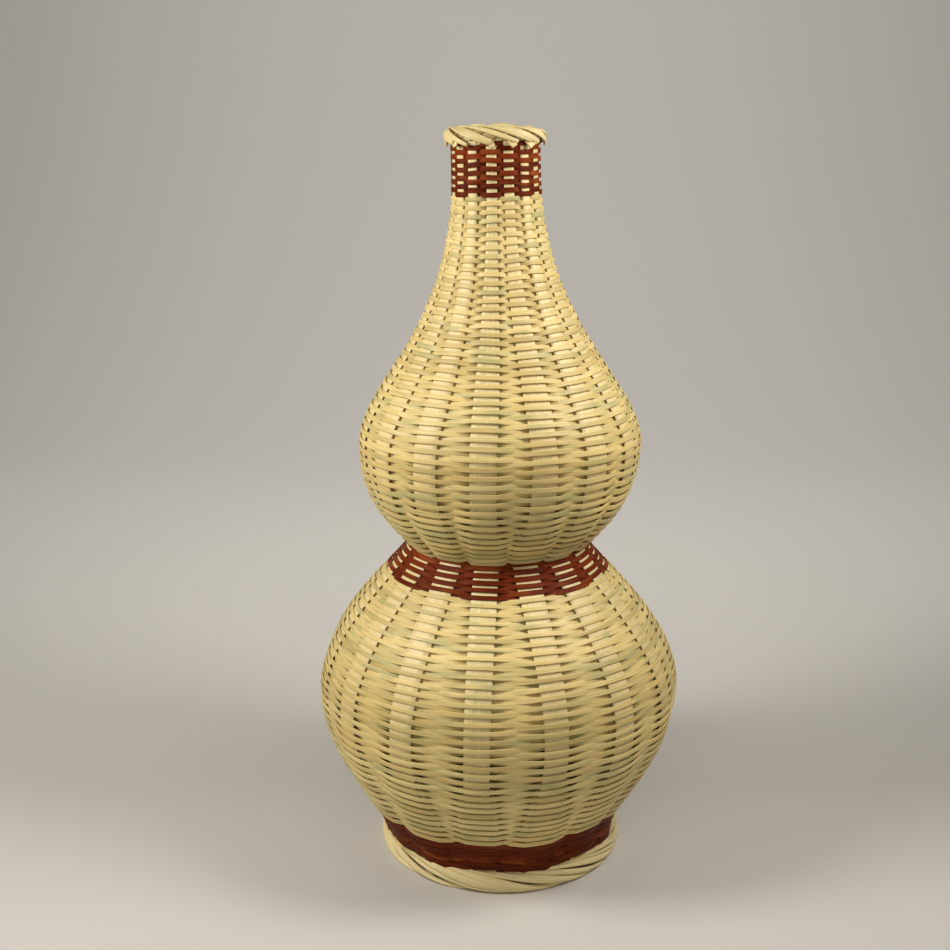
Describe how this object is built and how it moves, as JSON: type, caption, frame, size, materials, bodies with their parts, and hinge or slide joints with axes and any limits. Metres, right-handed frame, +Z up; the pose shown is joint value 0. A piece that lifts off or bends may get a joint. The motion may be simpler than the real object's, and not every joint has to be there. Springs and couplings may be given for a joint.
{
  "type": "woven bamboo vase",
  "caption": "Gourd-shaped vase woven from straw-coloured bamboo splints over flat upright stakes, with red-brown bands at foot, waist and neck and rolled borders at rim and foot.",
  "frame": {"origin": "centre of the foot ring, on the surface the vase stands on", "axes": "+Z up along the vase's axis, -Y towards the picture's viewpoint, +X to its right"},
  "size_m": [0.1535, 0.1543, 0.31],
  "materials": {
    "stake_bamboo": "matte pale bamboo with long fibres",
    "straw_weaver": "matte straw-coloured splint",
    "dyed_weaver": "matte red-brown dyed splint",
    "base_bamboo": "matte woven bamboo"
  },
  "bodies": {
    "root": {"stake_01": "stake_bamboo", "stake_02": "stake_bamboo", "stake_03": "stake_bamboo", "stake_04": "stake_bamboo", "stake_05": "stake_bamboo", "stake_06": "stake_bamboo", "stake_07": "stake_bamboo", "stake_08": "stake_bamboo", "stake_09": "stake_bamboo", "stake_10": "stake_bamboo", "stake_11": "stake_bamboo", "stake_12": "stake_bamboo", "stake_13": "stake_bamboo", "stake_14": "stake_bamboo", "stake_15": "stake_bamboo", "foot_band_weaver_01": "dyed_weaver", "foot_band_weaver_02": "dyed_weaver", "belly_weaver_01": "straw_weaver", "belly_weaver_02": "straw_weaver", "belly_weaver_03": "straw_weaver", "belly_weaver_04": "straw_weaver", "belly_weaver_05": "straw_weaver", "belly_weaver_06": "straw_weaver", "belly_weaver_07": "straw_weaver", "belly_weaver_08": "straw_weaver", "belly_weaver_09": "straw_weaver", "belly_weaver_10": "straw_weaver", "belly_weaver_11": "straw_weaver", "belly_weaver_12": "straw_weaver", "belly_weaver_13": "straw_weaver", "waist_band_weaver_01": "dyed_weaver", "waist_band_weaver_02": "dyed_weaver", "bulb_weaver_01": "straw_weaver", "bulb_weaver_02": "straw_weaver", "bulb_weaver_03": "straw_weaver", "bulb_weaver_04": "straw_weaver", "bulb_weaver_05": "straw_weaver", "bulb_weaver_06": "straw_weaver", "bulb_weaver_07": "straw_weaver", "bulb_weaver_08": "straw_weaver", "bulb_weaver_09": "straw_weaver", "bulb_weaver_10": "straw_weaver", "bulb_weaver_11": "straw_weaver", "bulb_weaver_12": "straw_weaver", "bulb_weaver_13": "straw_weaver", "bulb_weaver_14": "straw_weaver", "bulb_weaver_15": "straw_weaver", "bulb_weaver_16": "straw_weaver", "bulb_weaver_17": "straw_weaver", "bulb_weaver_18": "straw_weaver", "neck_band_weaver_01": "dyed_weaver", "neck_band_weaver_02": "dyed_weaver", "base_mat": "base_bamboo"}
  },
  "joints": []
}
